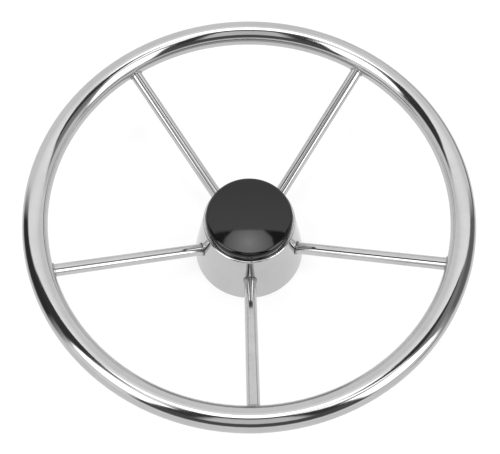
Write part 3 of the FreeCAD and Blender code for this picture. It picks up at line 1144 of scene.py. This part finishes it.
@dataclass(frozen=True)
class Backdrop:
    """The white sheet behind the wheel, lighter towards its straight top edge.

    Its sides are bearings and its bottom is a height, in degrees. Its top, and where it is darkest
    and lightest, are distances back on the ceiling.
    """

    bearings: tuple[float, float] = (104.0, 249.0)
    bottom: float = -2.0
    edge: float = 8.0
    top: float = 0.305
    top_edge: float = 0.01
    dark_and_light: tuple[float, float] = (0.9, 0.32)
    strength: tuple[float, float] = (0.92, 1.25)

    def hang(self, tree: Tree, looking: Direction, level: Value) -> Socket:
        """Hang the backdrop in front of the room.

        Args:
            tree: the world's tree.
            looking: the direction.
            level: the strength of the room.

        Returns:
            The strength with the backdrop in front.
        """
        left, right = self.bearings
        mask = PANEL.place(
            tree,
            bearing=tree.calc("WRAP", looking.bearing, 360.0, 0.0),
            height=looking.height,
            left=left,
            right=right,
            bottom=self.bottom,
            top=90.0,
            edge=self.edge,
        )
        share = tree.calc("MULTIPLY", mask, self.past_top(tree, looking, (0, 1)))
        strength = tree.between(looking.back, *self.dark_and_light, self.strength)
        return tree.mix(Blend.VALUES, share, level, strength)

    def past_top(self, tree: Tree, looking: Direction, ends: tuple[float, float]) -> Socket:
        """Value that is one overhead and another on the backdrop, and changes at its top edge."""
        low, high = self.top - self.top_edge, self.top + self.top_edge
        return tree.between(looking.back, low, high, ends)


@dataclass(frozen=True)
class OverheadBox:
    """The eight-sided soft box overhead, brighter at its middle and cut off by the backdrop.

    Its places and sizes are distances on the ceiling. The reach is that of its four longer sides
    and the corner is where the other four would meet the lines through its middle.
    """

    centre: tuple[float, float] = (0.0, 0.137)
    reach: float = 0.218
    corner: float = 0.308
    edge: float = 0.03
    glow_centre: tuple[float, float] = (0.0, 0.17)
    glow_reach: float = 0.3
    strength: tuple[float, float] = (4.7, 0.8)

    def hang(self, tree: Tree, looking: Direction, level: Value, uncovered: Socket) -> Socket:
        """Hang the box in front of what is there.

        Args:
            tree: the world's tree.
            looking: the direction.
            level: the strength of what is behind the box.
            uncovered: 1 where the backdrop leaves the box open to view, and 0 where it covers it.

        Returns:
            The strength with the box in front.
        """
        across, along = (
            tree.calc("ABSOLUTE", part) for part in looking.from_spot(tree, self.centre)
        )
        side = tree.calc("DIVIDE", tree.calc("MAXIMUM", across, along), self.reach)
        slant = tree.calc("DIVIDE", tree.calc("ADD", across, along), self.corner)
        outward = tree.calc("MAXIMUM", side, slant)
        share = tree.between(outward, 1 - self.edge, 1 + self.edge, (1, 0))
        share = tree.calc("MULTIPLY", share, uncovered)
        from_glow = tree.length(*looking.from_spot(tree, self.glow_centre))
        glow = tree.between(from_glow, 0.0, self.glow_reach, self.strength)
        return tree.mix(Blend.VALUES, share, level, glow)


@dataclass(frozen=True)
class Flag:
    """An upright card close to the rim, which mirrored rays alone see."""

    name: str
    ends: tuple[tuple[float, float], tuple[float, float]]
    heights: tuple[float, float]
    strength: float
    fade: float = 0.24

    def build(self) -> None:
        """Make the card, with a material that fades out towards its edges."""
        material, tree = new_material(self.name)
        clear = tree.add("BsdfTransparent")
        card = tree.add("Emission", {"Strength": self.strength})
        share = tree.add("LightPath").outputs["Is Glossy Ray"]
        _, *places = tree.parts(tree.add("TexCoord").outputs["Generated"])
        for place in places:
            from_edge = tree.calc("MINIMUM", place, tree.calc("SUBTRACT", 1.0, place))
            share = tree.calc("MULTIPLY", share, tree.between(from_edge, 0.0, self.fade))
        both = tree.add("MixShader", {0: share, 1: clear.outputs[0], 2: card.outputs[0]})
        tree.add("OutputMaterial", {"Surface": both.outputs[0]})
        low, high = self.heights
        near, far = self.ends
        corners = ((*near, low), (*far, low), (*far, high), (*near, high))
        flat_object(self.name, corners, material)


@dataclass(frozen=True)
class Floor:
    """The pale floor, which reads white and keeps the object's shadow."""

    name: str = "floor"
    level: float = 0.36
    glow: float = 0.72
    mirrored_glow: float = 0.89
    reach: float = 6.0
    right_end: float = 0.42
    drop: float = 0.05 * MM

    def build(self) -> None:
        """Make the floor."""
        left, right = -self.reach, self.right_end
        corners = ((left, left), (right, left), (right, -left), (left, -left))
        material = self.pale_material()
        floor = flat_object(self.name, [(x, y, 0.0) for x, y in corners], material)
        floor.location.z = -self.drop

    def pale_material(self) -> bpy.types.Material:
        """Make the floor's material, whose glow makes it white for the camera and for mirrors.

        Returns:
            The material.
        """
        material, tree = new_material("pale_floor")
        path = tree.add("LightPath").outputs
        level = tree.calc("MULTIPLY_ADD", path["Is Glossy Ray"], -self.level, self.level)
        seen = tree.calc("ADD", path["Is Camera Ray"], path["Is Transmission Ray"])
        glow = tree.calc("MULTIPLY", seen, self.glow)
        glow = tree.calc("MULTIPLY_ADD", path["Is Glossy Ray"], self.mirrored_glow, glow)
        tree.end_material(
            {
                "Base Color": level,
                "Roughness": 1.0,
                "Specular IOR Level": 0.0,
                "Emission Color": grey(1.0),
                "Emission Strength": glow,
            }
        )
        return material


@dataclass
class Studio:
    """The studio that the steel mirrors, painted on the world by direction.

    It has a white table and backdrop, two soft boxes at the sides and one overhead, the unlit room
    between them, a floor, and two flags close to the rim. The camera sees plain white.
    """

    room: float = 0.05
    backdrop: Backdrop = Backdrop()
    panels: tuple[Panel, ...] = (
        Panel("upper wall on the right", (76, 110), (20, 58), 0.28, edge=6),
        Panel("lower wall on the right", (76, 110), (-60, 31), 0.8, edge=8),
        Panel("room in front", (-40, 40), (0, 42), 0.1, edge=6),
        Panel("window behind the camera", (-20, 22), (38, 75), 0.75, edge=6),
        Panel("front of the table", (-52, 60), (-30, 7), 1.0, rises=(0, -0.05), edge=10),
        Panel("lower wall on the left", (-122, -75), (-20, 28), 0.85, edge=8),
        Panel("below the left soft box", (-74, -43), (-5, 30), 1.0, edge=6),
        Panel("below the right soft box", (43, 76), (-8, 24), 0.85, edge=6),
        Panel("left soft box", (-73, -40), (31, 67), 3.0, leans=(-0.25, 0), edge=5),
        Panel("right soft box", (42, 74), (16, 57), 3.0, rises=(-0.28, 0), edge=5),
        Panel("above the right soft box", (42, 84), (63, 81), 1.8, rises=(-0.15, 0), edge=4),
        Panel("above the left soft box", (-98, -52), (68, 79), 1.2, edge=4),
    )
    overhead: OverheadBox = OverheadBox()
    floor: Floor = Floor()
    flags: tuple[Flag, ...] = (
        Flag("left_flag", ((-0.212, 0.05), (-0.188, -0.135)), (0.062, 0.126), 0.04),
        Flag("right_flag", ((0.212, 0.04), (0.188, -0.13)), (0.064, 0.124), 0.17),
    )

    def build(self) -> None:
        """Make the world, the floor and the flags."""
        self.paint_world()
        self.floor.build()
        for flag in self.flags:
            flag.build()

    def paint_world(self) -> None:
        """White where the camera looks, and the studio for every other ray."""
        world = bpy.data.worlds.new("studio")
        bpy.context.scene.world = world
        world.use_nodes = True
        tree = Tree(world.node_tree)
        looking = Direction.read(tree)
        level = self.backdrop.hang(tree, looking, self.room)
        for panel in self.panels:
            level = panel.hang(tree, looking, level)
        uncovered = self.backdrop.past_top(tree, looking, (1, 0))
        level = self.overhead.hang(tree, looking, level, uncovered)
        studio = tree.add("Background", {"Color": grey(1.0), "Strength": level})
        plain = tree.add("Background", {"Color": grey(1.0), "Strength": 1.0})
        seen = tree.add("LightPath").outputs["Is Camera Ray"]
        both = tree.add("MixShader", {0: seen, 1: studio.outputs[0], 2: plain.outputs[0]})
        tree.add("OutputWorld", {"Surface": both.outputs[0]})


@dataclass
class Camera:
    """The photograph's viewpoint, about the middle of the rim. Angles are in degrees."""

    target: Point = (0.0, 0.0, 75.8 * MM)
    distance: float = 715.94 * MM
    height: float = 63.827
    bearing: float = -1.418
    roll: float = 0.354
    pan: float = 0.0424
    tilt: float = -1.167
    lens: float = 67.886
    sensor_width: float = 36.0
    clip: tuple[float, float] = (0.01, 50.0)

    def build(self) -> None:
        """Make the camera and let the scene use it."""
        data = bpy.data.cameras.new("camera")
        data.sensor_fit = "HORIZONTAL"
        data.sensor_width = self.sensor_width
        data.lens = self.lens
        data.clip_start, data.clip_end = self.clip
        camera = bpy.data.objects.new("camera", data)
        bpy.context.scene.collection.objects.link(camera)
        camera.matrix_world = self.pose()
        bpy.context.scene.camera = camera

    def pose(self) -> Matrix:
        """Find the camera's place and turn.

        Returns:
            The matrix of both.
        """
        height = math.radians(self.height)
        away = Vector((0, -math.cos(height), math.sin(height))) * self.distance
        ahead = -away.normalized()
        right = Vector((1, 0, 0))
        up = right.cross(ahead)
        right, up = turned_pair(right, up, self.roll)
        right, ahead = turned_pair(right, ahead, -self.pan)
        up, ahead = turned_pair(up, ahead, -self.tilt)
        turn = Matrix((right, up, -ahead)).transposed().to_4x4()
        about = Matrix.Rotation(math.radians(self.bearing), 4, "Z")
        place = Matrix.Translation(Vector(self.target) + about @ away)
        return place @ about @ turn


def turned_pair(first: Vector, second: Vector, angle: float) -> tuple[Vector, Vector]:
    """Two directions turned in their own plane by degrees, the first towards the second."""
    c, s = math.cos(math.radians(angle)), math.sin(math.radians(angle))
    return c * first + s * second, c * second - s * first


def main() -> None:
    """Build every sub-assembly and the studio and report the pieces."""
    logging.basicConfig(level=logging.INFO, format="%(name)s: %(message)s")
    nodes = frame["nodes"]
    made: dict[str, str] = {}
    Camera().build()
    Rim(nodes, made).build()
    weld = Spokes(nodes, made).build()
    Hub(nodes, made).build(weld)
    Fastening(nodes, made).build()
    Cap(nodes, made).build()
    Studio().build()
    bpy.context.scene.view_settings.view_transform = "Standard"
    for node, piece in made.items():
        log.info("%s is shown by %s", node, piece)
    bare = sorted(set(nodes) - set(made))
    if bare:
        log.warning("not dressed: %s", ", ".join(bare))


if __name__ == "__main__":
    main()
